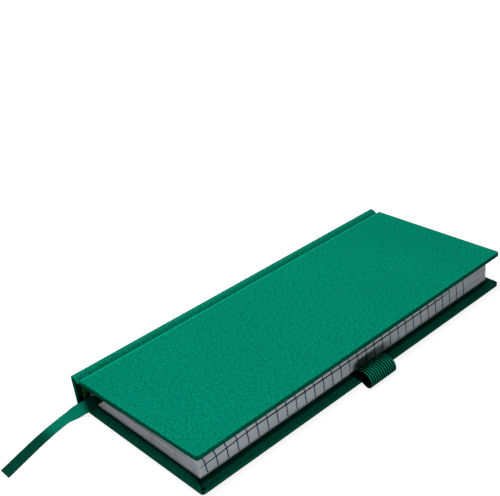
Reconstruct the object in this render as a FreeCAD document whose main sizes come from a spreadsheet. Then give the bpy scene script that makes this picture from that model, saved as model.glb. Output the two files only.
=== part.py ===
import FreeCAD, Part
import Sketcher
import os
from math import asin, atan2, cos, radians, sin, sqrt, tan

# A case-bound tally book, closed and lying on its back cover. In the book's own terms x runs from
# the spine to the fore-edge, y from the tail to the head and z up from the table. The finished
# frame has its origin under the middle of the back cover, so every sub-part is moved by half the
# cover's width and length. All lengths are in millimetres, angles in degrees.

doc = FreeCAD.newDocument("TallyBook")

# ---------------------------------------------------------------- driving sizes
sheet = doc.addObject("Spreadsheet::Sheet", "Sizes")
drivingSizes = [
    ("cover_width", 92.4),  # spine's outer face to the cover's fore-edge
    ("cover_length", 226.0),  # tail to head
    ("spine_height", 18.4),  # table to the top of the spine
    ("board", 1.7),  # greyboard of the covers
    ("spine_board", 1.7),
    ("cloth", 0.35),  # book cloth
    ("paper", 0.15),  # pasted endpaper
    ("turn_in", 14.0),  # cloth folded over the boards' inner side
    ("corner_radius", 1.5),  # covers' corners, seen from above
    ("board_nick", 0.7),  # cut off the boards' corners, along each side
    ("edge_radius", 0.5),  # covers' and spine's rounded long edges
    ("case_skew", 1.2),  # front cover's shift towards the tail
    ("cover_tilt", 2.6),  # front cover's slope over the fanned pages
    ("joint_x", 6.8),  # spine's outer face to the boards' inner edge
    ("groove_x", 5.3),  # deepest line of the joint groove
    ("groove_lip", 1.0),  # run of the cloth beside the spine
    ("lip_depth", 0.45),  # and its fall, before it drops into the groove
    ("groove_rise", 0.54),  # groove's bottom to the cloth's edge beside the board
    ("slanted_cloth", 0.44),  # cloth measured upright where it slants
    ("joint_clearance", 0.15),  # joint cloth to the turning cover
    ("board_step", 2.2),  # top of the spine above the front cover's inner face
    ("fore_square", 6.8),  # back cover beyond the pages at the fore-edge
    ("tail_square", 5.0),
    ("head_square", 3.0),
    ("hollow", 2.0),  # gap between the spine and the block's lining
    ("lining", 0.6),
    ("lining_inset", 4.0),
    ("seat_gap", 0.05),  # between a cover and the page that lies on it
    ("fore_lean", 1.8),  # top page's fore-edge behind the bottom page's
    ("band_width", 2.0),  # sewn bands at the block's spine ends
    ("band_bead", 0.9),
    ("band_inset", 0.5),
    ("band_radius", 0.4),
    ("loop_place", 105.2),  # cover's tail edge to the pen loop
    ("loop_width", 19.0),
    ("loop_thick", 0.9),
    ("loop_root", 0.7),  # pages' fore-edge to the loop's foot
    ("loop_arch", 8.4),  # radius of the loop's upper strand
    ("loop_nose", 3.0),  # radius of its round end
    ("loop_reach", 7.8),  # loop beyond the cover's fore-edge
    ("loop_lift", 0.25),  # loop's lowest point above the table
    ("tongue_length", 7.0),  # loop's glued end, under the endpaper
    ("tongue_overlap", 2.0),  # glued end below the loop's foot
    ("tongue_clearance", 0.1),
    ("ribbon_width", 6.1),
    ("ribbon_thick", 0.3),
    ("ribbon_place", 13.0),  # ribbon's middle line, from the spine's outer face
    ("ribbon_depth", 8.0),  # ribbon's middle line below the block's top at the spine
    ("ribbon_straight", 2.2),  # its run straight out of the pages
    ("ribbon_glued", 20.0),  # ribbon's end on the spine's lining
    ("slot_clearance", 0.1),  # pages to the ribbon between them
]
for row, (alias, number) in enumerate(drivingSizes, start=1):
    sheet.set(f"A{row}", alias)
    sheet.set(f"B{row}", str(number))
    sheet.setAlias(f"B{row}", alias)

# ---------------------------------------------------------------- sizes worked out from them
worked = doc.addObject("Spreadsheet::Sheet", "Worked")
workedSizes = [
    ("half_width", "Sizes.cover_width / 2"),
    ("half_length", "Sizes.cover_length / 2"),
    ("spine_wall", "2 * Sizes.cloth + Sizes.spine_board"),
    ("lining_x", "spine_wall + Sizes.hollow"),
    ("block_x", "lining_x + Sizes.lining"),
    ("fore_x", "Sizes.cover_width - Sizes.fore_square"),
    ("head_y", "Sizes.cover_length - Sizes.head_square"),
    ("page_length", "head_y - Sizes.tail_square"),
    ("board_face", "Sizes.cloth + Sizes.board"),
    ("wrapped", "board_face + Sizes.cloth"),
    ("cover_stack", "wrapped + Sizes.paper"),
    ("cover_reach", "Sizes.cover_width - Sizes.joint_x"),
    ("page_z", "cover_stack + Sizes.seat_gap"),
    ("front_z", "Sizes.spine_height - Sizes.board_step"),
    ("slope", "tan(Sizes.cover_tilt * 1 deg)"),
    ("top_z", "front_z - Sizes.seat_gap - (Sizes.joint_x - block_x) * slope"),
    ("fore_top_x", "fore_x - Sizes.fore_lean"),
    ("fore_top_z", "top_z + (fore_top_x - block_x) * slope"),
    ("groove_depth", "Sizes.board_step - Sizes.cloth - Sizes.seat_gap"),
    ("ribbon_z", "top_z - Sizes.ribbon_depth"),
    ("foot_x", "fore_x + Sizes.loop_root"),
    ("foot_z", "wrapped + Sizes.loop_thick"),
    ("nose_x", "Sizes.cover_width + Sizes.loop_reach - Sizes.loop_nose"),
    ("nose_z", "Sizes.loop_lift + Sizes.loop_nose"),
    ("tongue_x", "fore_x - Sizes.tongue_length"),
    ("tongue_end", "foot_x + Sizes.tongue_overlap"),
]
for row, (alias, formula) in enumerate(workedSizes, start=1):
    worked.set(f"A{row}", alias)
    worked.set(f"B{row}", "=" + formula)
    worked.setAlias(f"B{row}", alias)
    doc.recompute()


def size(alias):
    return float(sheet.get(alias))


def workedSize(alias):
    return float(worked.get(alias))


# ---------------------------------------------------------------- helpers
tiny = 1e-3  # lengths and volumes below this count as none


def setWhere(thing, x, y, z):
    """Binds the sub-part's place to expressions in the book's own x, y and z."""
    thing.setExpression("Placement.Base.x", f"{x} - Worked.half_width")
    thing.setExpression("Placement.Base.y", f"{y} - Worked.half_length")
    thing.setExpression("Placement.Base.z", z)


def newBody(label, x="0", y="0", z="0"):
    body = doc.addObject("PartDesign::Body", label)
    body.Label = label
    setWhere(body, x, y, z)
    return body


def newSketch(body, role, offset="0"):
    """A sketch on one of the body's own planes, moved along the plane's normal by the offset."""
    sketch = body.newObject("Sketcher::SketchObject", body.Name + "Sketch")
    plane = next(plane for plane in body.Origin.OriginFeatures if plane.Role == role)
    sketch.AttachmentSupport = [(plane, "")]
    sketch.MapMode = "FlatFace"
    sketch.setExpression("AttachmentOffset.Base.z", offset)
    return sketch


def bind(sketch, kind, *where, expression):
    """Adds a constraint whose value is the expression. The last item of where is a start value."""
    index = sketch.addConstraint(Sketcher.Constraint(kind, *where))
    name = f"{kind}{index}"
    sketch.renameConstraint(index, name)
    sketch.setExpression(f"Constraints.{name}", expression)


def pin(sketch, geometry, point, across, up):
    """Ties a point of the geometry to the sketch's origin by two expressions."""
    now = sketch.getPoint(geometry, point)
    bind(sketch, "DistanceX", -1, 1, geometry, point, now.x, expression=across)
    bind(sketch, "DistanceY", -1, 1, geometry, point, now.y, expression=up)


def outline(body, role, corners, offset="0"):
    """A closed outline of straight lines, each corner pinned at its own pair of expressions."""
    sketch = newSketch(body, role, offset)
    count = len(corners)
    turns = [radians(360 * k / count) for k in range(count)]
    rough = [FreeCAD.Vector(cos(turn), sin(turn)) for turn in turns]
    for k in range(count):
        sketch.addGeometry(Part.LineSegment(rough[k], rough[(k + 1) % count]))
    for k in range(count):
        sketch.addConstraint(Sketcher.Constraint("Coincident", k, 2, (k + 1) % count, 1))
    for k, (across, up) in enumerate(corners):
        pin(sketch, k, 1, across, up)
    return sketch


def rectangle(left, low, right, high):
    return [(left, low), (right, low), (right, high), (left, high)]


def addPad(body, sketch, length, backwards=False):
    pad = body.newObject("PartDesign::Pad", body.Name + "Pad")
    pad.Profile = sketch
    pad.setExpression("Length", length)
    pad.Reversed = backwards
    doc.recompute()


def addPocket(body, sketch, length):
    """Cuts the outline out of the body, and makes sure that the cut reaches the solid."""
    before = body.Shape.Volume
    pocket = body.newObject("PartDesign::Pocket", body.Name + "Pocket")
    pocket.Profile = sketch
    pocket.setExpression("Length", length)
    doc.recompute()
    if body.Shape.Volume > before - tiny:
        raise RuntimeError(f"{body.Label}: a pocket cuts nothing")


def addFillet(body, radius, wanted):
    """Rounds the edges whose bounding box, in the body's own frame, wanted(box) picks."""
    base = body.Tip
    edges = enumerate(base.Shape.Edges, start=1)
    names = [f"Edge{n}" for n, edge in edges if wanted(edge.BoundBox)]
    fillet = body.newObject("PartDesign::Fillet", body.Name + "Fillet")
    fillet.Base = (base, names)
    fillet.setExpression("Radius", radius)
    doc.recompute()


def near(value, wanted):
    return abs(value - wanted) < tiny


def upright(box):
    return near(box.XLength, 0) and near(box.YLength, 0)


# ---------------------------------------------------------------- covers
def coverBoard(side):
    """A cover's board, its fore corners cut off. In every cover piece the outer face is down at
    z = 0, the joint edge is at x = 0 and the fore-edge at the far end."""
    body = newBody(f"{side}_board")
    addPad(body, outline(body, "XY_Plane", boardEdge, "Sizes.cloth"), "Sizes.board")
    return body


def coverCloth(side):
    """The cloth that wraps the board, with its turned-in edges round a window on the inner face."""
    body = newBody(f"{side}_cloth")
    whole = rectangle("0", "0", "Worked.cover_reach", "Sizes.cover_length")
    addPad(body, outline(body, "XY_Plane", whole), "Worked.wrapped")
    reach = workedSize("cover_reach")
    wrapped = workedSize("wrapped")

    def onRim(box):
        return box.XMax > tiny and (near(box.ZMax, 0) or near(box.ZMin, wrapped))

    addFillet(body, "Sizes.corner_radius", lambda box: upright(box) and near(box.XMax, reach))
    addFillet(body, "Sizes.edge_radius", onRim)
    addPocket(body, outline(body, "XY_Plane", boardEdge, "Worked.board_face"), "Sizes.board")
    window = rectangle(
        "Sizes.cloth",
        "Sizes.turn_in",
        "Worked.cover_reach - Sizes.turn_in",
        "Sizes.cover_length - Sizes.turn_in",
    )
    addPocket(body, outline(body, "XY_Plane", window, "Worked.wrapped"), "Sizes.cloth")
    return body


def coverPastedown(side, lowMargin, highMargin):
    """The pasted sheet, which lies on the turned-in cloth and dips onto the bare board inside it.
    The margins are the bare cloth at y = 0 and at the far end."""
    body = newBody(f"{side}_pastedown")
    foreEnd = "Worked.fore_x - Sizes.joint_x"
    highEnd = f"Sizes.cover_length - ({highMargin})"
    whole = rectangle("Sizes.cloth", lowMargin, foreEnd, highEnd)
    addPad(body, outline(body, "XY_Plane", whole, "Worked.board_face"), "Sizes.cloth + Sizes.paper")
    beyond = "Sizes.cover_length"
    foreTurn = "Worked.cover_reach - Sizes.turn_in"
    highTurn = "Sizes.cover_length - Sizes.turn_in"
    turnIns = [
        rectangle("-Sizes.cloth", "-Sizes.turn_in", "Worked.cover_reach", "Sizes.turn_in"),
        rectangle("-Sizes.cloth", highTurn, "Worked.cover_reach", beyond),
        rectangle(foreTurn, "0", "Worked.cover_reach", beyond),
    ]
    for turnIn in turnIns:
        addPocket(body, outline(body, "XY_Plane", turnIn, "Worked.wrapped"), "Sizes.cloth")
    dip = rectangle(
        "Sizes.cloth + Sizes.paper",
        "Sizes.turn_in + Sizes.paper",
        f"{foreTurn} - Sizes.paper",
        f"{highTurn} - Sizes.paper",
    )
    addPocket(body, outline(body, "XY_Plane", dip, "Worked.cover_stack"), "Sizes.cloth")
    return body


boardFore = "Worked.cover_reach - Sizes.cloth"
boardHigh = "Sizes.cover_length - Sizes.cloth"
boardEdge = [
    ("Sizes.cloth", "Sizes.cloth"),
    (f"{boardFore} - Sizes.board_nick", "Sizes.cloth"),
    (boardFore, "Sizes.cloth + Sizes.board_nick"),
    (boardFore, f"{boardHigh} - Sizes.board_nick"),
    (f"{boardFore} - Sizes.board_nick", boardHigh),
    ("Sizes.cloth", boardHigh),
]
backCloth = coverCloth("back")
backMargins = ("Sizes.tail_square", "Sizes.head_square")
for body in (coverBoard("back"), backCloth, coverPastedown("back", *backMargins)):
    setWhere(body, "Sizes.joint_x", "0", "0")

# The front cover is the same case turned over, so its y runs from the head to the tail.
frontMargins = ("Sizes.head_square - Sizes.case_skew", "Sizes.tail_square + Sizes.case_skew")
frontPieces = [coverBoard("front"), coverCloth("front"), coverPastedown("front", *frontMargins)]
turnedOver = FreeCAD.Rotation(FreeCAD.Vector(1, 0, 0), 180)
raised = FreeCAD.Rotation(FreeCAD.Vector(0, 1, 0), -size("cover_tilt"))
for body in frontPieces:
    body.Placement.Rotation = raised * turnedOver
    setWhere(
        body,
        "Sizes.joint_x - Worked.cover_stack * sin(Sizes.cover_tilt * 1 deg)",
        "Sizes.cover_length - Sizes.case_skew",
        "Worked.front_z + Worked.cover_stack * cos(Sizes.cover_tilt * 1 deg)",
    )


# ---------------------------------------------------------------- spine and joints
def leaning(margin, inset):
    """The spine's side view, which leans towards the tail as it rises, inside the margins at its
    ends and the inset at its long edges."""
    lean = "Sizes.case_skew / Sizes.spine_height"
    top = f"(Sizes.spine_height - {inset})"
    return [
        (f"{margin} - {inset} * {lean}", inset),
        (f"Sizes.cover_length - {margin} - {inset} * {lean}", inset),
        (f"Sizes.cover_length - {margin} - {top} * {lean}", top),
        (f"{margin} - {top} * {lean}", top),
    ]


spineBoard = newBody("spine_board")
boardSide = leaning("Sizes.cloth", "Sizes.cloth")
addPad(spineBoard, outline(spineBoard, "YZ_Plane", boardSide, "Sizes.cloth"), "Sizes.spine_board")

spineCloth = newBody("spine_cloth")
addPad(spineCloth, outline(spineCloth, "YZ_Plane", leaning("0", "0")), "Worked.spine_wall")
addFillet(spineCloth, "Sizes.edge_radius", lambda box: near(box.XMax, 0))
boardBack = "Sizes.cloth + Sizes.spine_board"
addPocket(spineCloth, outline(spineCloth, "YZ_Plane", boardSide, boardBack), "Sizes.spine_board")
spineWindow = leaning("Sizes.turn_in", "Sizes.cloth")
addPocket(spineCloth, outline(spineCloth, "YZ_Plane", spineWindow, "Worked.spine_wall"), "Sizes.cloth")


def jointCloth(label, heightAt, tail):
    """The cloth of one joint: from the spine's edge down into the groove and up beside the board,
    inside the circle that the turning board sweeps. heightAt turns a depth below the spine's edge
    into a height above the table."""
    lip = "Worked.spine_wall + Sizes.groove_lip"
    besideBoard = "Sizes.joint_x - Sizes.joint_clearance"
    profile = [
        ("Worked.spine_wall", "Sizes.edge_radius / 2"),
        (lip, "Sizes.lip_depth"),
        ("Sizes.groove_x", "Worked.groove_depth"),
        (besideBoard, "Worked.groove_depth - Sizes.groove_rise"),
        (besideBoard, "Worked.groove_depth + Sizes.cloth"),
        ("Sizes.groove_x - Sizes.cloth / 2", "Worked.groove_depth + Sizes.cloth"),
        (f"{lip} - Sizes.cloth", "Sizes.lip_depth + Sizes.slanted_cloth"),
        ("Worked.spine_wall", "Sizes.edge_radius / 2 + Sizes.slanted_cloth"),
    ]
    body = newBody(label, "0", tail, "0")
    corners = [(across, heightAt(depth)) for across, depth in profile]
    addPad(body, outline(body, "XZ_Plane", corners), "Sizes.cover_length", backwards=True)


jointCloth("front_joint_cloth", lambda depth: f"Sizes.spine_height - ({depth})", "-Sizes.case_skew")
jointCloth("back_joint_cloth", lambda depth: depth, "0")


# ---------------------------------------------------------------- text block
def alongPages(label, corners):
    """A piece as long as the pages, with the given side view."""
    body = newBody(label, "0", "Sizes.tail_square", "0")
    addPad(body, outline(body, "XZ_Plane", corners), "Worked.page_length", backwards=True)
    return body


def ribbonBox(gap):
    """The end view of the ribbon between the pages, widened by a gap all round."""
    return rectangle(
        f"Sizes.ribbon_place - Sizes.ribbon_width / 2 - {gap}",
        f"Worked.ribbon_z - Sizes.ribbon_thick / 2 - {gap}",
        f"Sizes.ribbon_place + Sizes.ribbon_width / 2 + {gap}",
        f"Worked.ribbon_z + Sizes.ribbon_thick / 2 + {gap}",
    )


blockSide = [
    ("Worked.block_x", "Worked.page_z"),
    ("Worked.fore_x", "Worked.page_z"),
    ("Worked.fore_top_x", "Worked.fore_top_z"),
    ("Worked.block_x", "Worked.top_z"),
]
pageBlock = alongPages("page_block", blockSide)
ribbonSlot = outline(pageBlock, "XZ_Plane", ribbonBox("Sizes.slot_clearance"))
addPocket(pageBlock, ribbonSlot, "Worked.page_length")

spineLining = newBody("spine_lining", "Worked.lining_x", "Sizes.tail_square + Sizes.lining_inset")
liningSide = rectangle("0", "Worked.page_z", "Sizes.lining", "Worked.top_z")
liningLength = "Worked.page_length - 2 * Sizes.lining_inset"
addPad(spineLining, outline(spineLining, "XZ_Plane", liningSide), liningLength, backwards=True)


def sewnBand(label, y):
    """A band that stands proud of the block's end, beside the spine."""
    body = newBody(label, "Worked.block_x", y, "Worked.page_z + Sizes.band_inset")
    plan = rectangle("0", "0", "Sizes.band_width", "Sizes.band_bead")
    addPad(body, outline(body, "XY_Plane", plan), "Worked.top_z - Worked.page_z - 2 * Sizes.band_inset")
    addFillet(body, "Sizes.band_radius", upright)


sewnBand("tail_band", "Sizes.tail_square - Sizes.band_bead")
sewnBand("head_band", "Worked.head_y")


# ---------------------------------------------------------------- pen loop
def loopSide(sketch, inset):
    """One outline of the bent elastic, its outer face or, with the inset, its inner face: an arch
    from the foot to the round nose, a slope down from the cover's edge and a flat base. Returns
    the numbers of its arch and its slope."""
    archRadius = size("loop_arch") - inset
    noseRadius = size("loop_nose") - inset
    foot = FreeCAD.Vector(workedSize("foot_x"), workedSize("foot_z"))
    nose = FreeCAD.Vector(workedSize("nose_x"), workedSize("nose_z"))
    edge = FreeCAD.Vector(size("cover_width"), workedSize("wrapped"))

    # The arch's centre is as far from the foot as its radius, and from the nose's centre as the
    # difference of the two radii.
    toNose = nose - foot
    span = toNose.Length
    reach = size("loop_arch")
    apart = size("loop_arch") - size("loop_nose")
    along = (span**2 + reach**2 - apart**2) / (2 * span)
    below = sqrt(reach**2 - along**2)
    unit = toNose / span
    centre = foot + unit * along + FreeCAD.Vector(unit.y, -unit.x) * below

    # The slope starts at the cover's edge and touches the nose from below.
    toEdge = nose - edge
    fall = asin(size("loop_nose") / toEdge.Length) - atan2(toEdge.y, toEdge.x)
    slopeNormal = FreeCAD.Vector(-sin(fall), -cos(fall))
    cornerX = edge.x + inset * tan(fall / 2)
    baseZ = edge.y + inset

    touch = atan2(nose.y - centre.y, nose.x - centre.x)
    startZ = foot.y
    startX = centre.x - sqrt(archRadius**2 - (startZ - centre.y) ** 2)
    startAngle = atan2(startZ - centre.y, startX - centre.x)
    normal = FreeCAD.Vector(0, 0, 1)
    archCircle = Part.Circle(centre, normal, archRadius)
    noseCircle = Part.Circle(nose, normal, noseRadius)
    slopeEnd = nose + slopeNormal * noseRadius
    slopeAngle = atan2(slopeNormal.y, slopeNormal.x)
    corner = FreeCAD.Vector(cornerX, baseZ)
    baseEnd = FreeCAD.Vector(startX, baseZ)
    start = FreeCAD.Vector(startX, startZ)

    arch = sketch.addGeometry(Part.ArcOfCircle(archCircle, touch, startAngle))
    bend = sketch.addGeometry(Part.ArcOfCircle(noseCircle, slopeAngle, touch))
    slope = sketch.addGeometry(Part.LineSegment(slopeEnd, corner))
    base = sketch.addGeometry(Part.LineSegment(corner, baseEnd))
    sketch.addConstraint(Sketcher.Constraint("Tangent", arch, 1, bend, 2))
    sketch.addConstraint(Sketcher.Constraint("Tangent", bend, 1, slope, 1))
    sketch.addConstraint(Sketcher.Constraint("Coincident", slope, 2, base, 1))
    thinner = " - Sizes.loop_thick" if inset else ""
    bind(sketch, "Radius", arch, archRadius, expression="Sizes.loop_arch" + thinner)
    bind(sketch, "Radius", bend, noseRadius, expression="Sizes.loop_nose" + thinner)
    pin(sketch, bend, 3, "Worked.nose_x", "Worked.nose_z")
    return arch, slope, base, start, baseEnd


penLoop = newBody("pen_loop", "0", "Sizes.loop_place", "0")
loopSketch = newSketch(penLoop, "XZ_Plane")
outerArch, outerSlope, outerBase, start, baseEnd = loopSide(loopSketch, 0)
heel = loopSketch.addGeometry(Part.LineSegment(baseEnd, start))
loopSketch.addConstraint(Sketcher.Constraint("Coincident", outerBase, 2, heel, 1))
loopSketch.addConstraint(Sketcher.Constraint("Coincident", heel, 2, outerArch, 2))
loopSketch.addConstraint(Sketcher.Constraint("Horizontal", outerBase))
loopSketch.addConstraint(Sketcher.Constraint("Vertical", heel))
pin(loopSketch, outerArch, 2, "Worked.foot_x", "Worked.foot_z")
pin(loopSketch, outerSlope, 2, "Sizes.cover_width", "Worked.wrapped")

innerArch, innerSlope, innerBase, _, _ = loopSide(loopSketch, size("loop_thick"))
loopSketch.addConstraint(Sketcher.Constraint("Coincident", innerBase, 2, innerArch, 2))
loopSketch.addConstraint(Sketcher.Constraint("Horizontal", innerArch, 3, outerArch, 3))
loopSketch.addConstraint(Sketcher.Constraint("Parallel", innerSlope, outerSlope))
for point in (1, 2):
    level = loopSketch.getPoint(innerBase, point).y
    bind(loopSketch, "DistanceY", -1, 1, innerBase, point, level, expression="Worked.foot_z")
addPad(penLoop, loopSketch, "Sizes.loop_width", backwards=True)

# The loop's glued end lies in a notch of the back cover's turned-in cloth, under the endpaper.
tongue = rectangle("Worked.tongue_x", "0", "Worked.tongue_end", "Sizes.loop_width")
addPad(penLoop, outline(penLoop, "XY_Plane", tongue, "Worked.board_face"), "Sizes.cloth")
notch = rectangle(
    "Worked.tongue_x - Sizes.joint_x - Sizes.tongue_clearance",
    "Sizes.loop_place - Sizes.tongue_clearance",
    "Worked.tongue_end - Sizes.joint_x + Sizes.tongue_clearance",
    "Sizes.loop_place + Sizes.loop_width + Sizes.tongue_clearance",
)
addPocket(backCloth, outline(backCloth, "XY_Plane", notch, "Worked.wrapped"), "Sizes.cloth")

# ---------------------------------------------------------------- ribbon marker
# The free end's middle line: out of the pages at the tail, down past the back cover's edge and
# away over the table.
exitX, exitY, exitZ = size("ribbon_place"), size("tail_square"), workedSize("ribbon_z")
ribbonRoute = [
    (exitX, exitY, exitZ),
    (exitX, exitY - size("ribbon_straight"), exitZ),
    (9.0, -0.6, 4.4),
    (5.4, -7.0, 1.0),
    (5.0, -12.0, 0.25),
    (7.6, -24.0, 0.25),
    (12.0, -38.6, 0.25),
    (16.2, -51.6, 0.25),
]
arcShare = 0.45  # part of the shorter run that an arc takes
arcSteps = 4


def roundedRoute(route):
    """Stations along the route, each a place and a heading, with an arc at every inner point. Also
    the path's length and the arcs' radii."""
    points = [FreeCAD.Vector(*place) for place in route]
    stations = [(points[0], (points[1] - points[0]).normalize())]
    radii = []
    length = 0.0
    last = points[0]
    for before, corner, after in zip(points, points[1:], points[2:]):
        arriving = (corner - before).normalize()
        leaving = (after - corner).normalize()
        cut = arcShare * min((corner - before).Length, (after - corner).Length)
        turn = arriving.getAngle(leaving)
        radius = cut / tan(turn / 2)
        middle = (arriving + leaving).normalize()
        inward = (leaving - arriving).normalize()
        centre = corner + inward * (radius / cos(turn / 2))
        for step in range(arcSteps + 1):
            angle = turn * (step / arcSteps - 0.5)
            place = centre + (middle * sin(angle) - inward * cos(angle)) * radius
            stations.append((place, middle * cos(angle) + inward * sin(angle)))
        length += (corner - arriving * cut - last).Length + radius * turn
        last = corner + leaving * cut
        radii.append(radius)
    length += (points[-1] - last).Length
    stations.append((points[-1], (points[-1] - points[-2]).normalize()))
    return stations, length, radii


def ribbonSection(place, heading):
    """The ribbon's flat section at one station, its width as near the x direction as its heading
    lets it be."""
    side = (FreeCAD.Vector(1, 0, 0) - heading * heading.x).normalize()
    halfWidth = side * (size("ribbon_width") / 2)
    halfThick = side.cross(heading) * (size("ribbon_thick") / 2)
    corners = [
        place + halfWidth + halfThick,
        place - halfWidth + halfThick,
        place - halfWidth - halfThick,
        place + halfWidth - halfThick,
    ]
    return Part.makePolygon(corners + corners[:1])


def ribbonSlab(low, high):
    """A straight flat stretch of the ribbon between two opposite corners."""
    low = FreeCAD.Vector(*low)
    spans = FreeCAD.Vector(*high) - low
    return Part.makeBox(spans.x, spans.y, spans.z, low)


stations, pathLength, radii = roundedRoute(ribbonRoute)
freeEnd = Part.makeLoft([ribbonSection(*station) for station in stations], True, True)
ribbonSize = size("ribbon_width") * size("ribbon_thick")
print("ribbon: free length %.1f mm, radii" % pathLength, [round(radius, 1) for radius in radii])
print("ribbon: volume / (section x length) %.3f" % (freeEnd.Volume / ribbonSize / pathLength))

# The held stretch runs between the pages to the head, folds up round the block's end and is
# glued along the spine's lining.
thick = size("ribbon_thick")
left = exitX - size("ribbon_width") / 2
right = left + size("ribbon_width")
bottom = exitZ - thick / 2
top = bottom + size("ribbon_width")
bendY = workedSize("head_y") + size("band_bead")
gluedX = workedSize("lining_x")
gluedY = bendY - size("ribbon_glued")
held = ribbonSlab((left, exitY, bottom), (right, bendY, bottom + thick))
bend = ribbonSlab((gluedX - thick, bendY, bottom), (right, bendY + thick, top))
glued = ribbonSlab((gluedX - thick, gluedY, bottom), (gluedX, bendY, top))
ribbon = doc.addObject("Part::Feature", "ribbon_marker")
ribbon.Label = "ribbon_marker"
ribbon.Shape = freeEnd.fuse([held, bend, glued]).removeSplitter()
setWhere(ribbon, "0", "0", "0")

doc.recompute()

# ---------------------------------------------------------------- checks and files
for thing in doc.Objects:
    if "Invalid" in thing.State or "Error" in thing.State:
        raise RuntimeError(f"{thing.Label} failed: {thing.State}")

subParts = [thing for thing in doc.Objects if thing.TypeId in ("PartDesign::Body", "Part::Feature")]
for thing in subParts:
    if thing.Shape.isNull() or not thing.Shape.isValid() or len(thing.Shape.Solids) != 1:
        raise RuntimeError(f"{thing.Label}: not one valid solid")

os.makedirs("parts", exist_ok=True)
for thing in subParts:
    thing.Shape.exportStep(os.path.join("parts", thing.Label + ".step"))
    print(f"{thing.Label}: {thing.Shape.Volume:.1f} mm3")
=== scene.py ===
import math

import bmesh
import bpy
import numpy as np
from mathutils import Euler, Matrix, Vector


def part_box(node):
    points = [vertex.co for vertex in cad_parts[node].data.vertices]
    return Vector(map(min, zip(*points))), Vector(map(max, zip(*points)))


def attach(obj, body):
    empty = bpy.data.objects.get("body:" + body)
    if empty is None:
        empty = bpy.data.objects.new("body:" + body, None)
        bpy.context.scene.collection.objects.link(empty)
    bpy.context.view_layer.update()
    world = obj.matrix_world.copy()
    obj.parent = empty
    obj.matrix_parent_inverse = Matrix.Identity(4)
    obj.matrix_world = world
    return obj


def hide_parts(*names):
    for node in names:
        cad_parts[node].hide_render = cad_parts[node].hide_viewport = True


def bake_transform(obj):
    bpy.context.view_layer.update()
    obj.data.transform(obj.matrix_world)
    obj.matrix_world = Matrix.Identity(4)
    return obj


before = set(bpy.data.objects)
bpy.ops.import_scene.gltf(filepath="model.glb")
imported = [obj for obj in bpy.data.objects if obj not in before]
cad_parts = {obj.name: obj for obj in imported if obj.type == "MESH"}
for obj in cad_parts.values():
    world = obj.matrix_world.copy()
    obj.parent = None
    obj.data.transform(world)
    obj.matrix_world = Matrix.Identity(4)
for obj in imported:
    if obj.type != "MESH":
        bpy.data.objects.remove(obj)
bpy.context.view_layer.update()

# Shapes are worked out in the book's own millimetres: x from the spine's outer face to the
# fore-edge, y from the back cover's tail edge to the head, z up from the table.
bookCorner = np.array([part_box("spine_cloth")[0].x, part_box("back_cloth")[0].y, 0.0])


def bookBox(node):
    low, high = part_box(node)
    return (np.array(low) - bookCorner) * 1000, (np.array(high) - bookCorner) * 1000


def inFrame(points):
    # Millimetres of the book to metres of the frame.
    return np.asarray(points, float) / 1000 + bookCorner


def stacked(*axes):
    # One array of points from an array for each axis.
    return np.stack(np.broadcast_arrays(*axes), -1)


def joined(*parts, axis=0):
    return np.concatenate(parts, axis)


def smooth(value):
    # 0 below 0, 1 above 1 and an even S between them.
    value = np.clip(value, 0, 1)
    return value * value * (3 - 2 * value)


coverLow, coverHigh = bookBox("back_cloth")
spineLow, spineHigh = bookBox("spine_cloth")
pagesLow, pagesHigh = bookBox("page_block")
liningLow, liningHigh = bookBox("spine_lining")

book = {
    "cloth": 0.35,
    "paper": 0.15,
    "turnIn": 14.0,  # cloth folded over the boards' inner side
    "tilt": math.radians(2.6),  # the front cover's slope over the fanned pages
    "frontInner": 16.2,  # height of the front cover's inner face at its joint edge
    "skew": -spineLow[1],  # the front cover's shift towards the tail
}
wrapped = coverHigh[2]  # thickness of a board in its cloth
coverStack = wrapped + book["paper"]  # and with the endpaper
coverReach = coverHigh[0] - coverLow[0]
coverLength = coverHigh[1] - coverLow[1]

cameraView = {
    "place": (0.2934, -0.3055, 0.3021),
    "azimuth": math.radians(47.24),
    "elevation": math.radians(29.94),
    "roll": math.radians(-3.31),
    "lens": 70.24,
    "sensor": 36.0,
    "nearest": 0.01,
}


def addObject(name, data):
    made = bpy.data.objects.new(name, data)
    bpy.context.scene.collection.objects.link(made)
    return made


def addCamera(view):
    # Turned to the azimuth, tipped by the elevation and rolled about its own axis.
    turned = Euler((math.pi / 2 - view["elevation"], 0, view["azimuth"])).to_matrix().to_4x4()
    turned = turned @ Matrix.Rotation(view["roll"], 4, "Z")
    camera = addObject("Camera", bpy.data.cameras.new("Camera"))
    camera.data.lens = view["lens"]
    camera.data.sensor_width = view["sensor"]
    camera.data.clip_start = view["nearest"]
    camera.matrix_world = Matrix.Translation(view["place"]) @ turned
    bpy.context.scene.camera = camera


addCamera(cameraView)
bpy.context.scene.view_settings.view_transform = "Standard"
print("camera placed")


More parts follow.
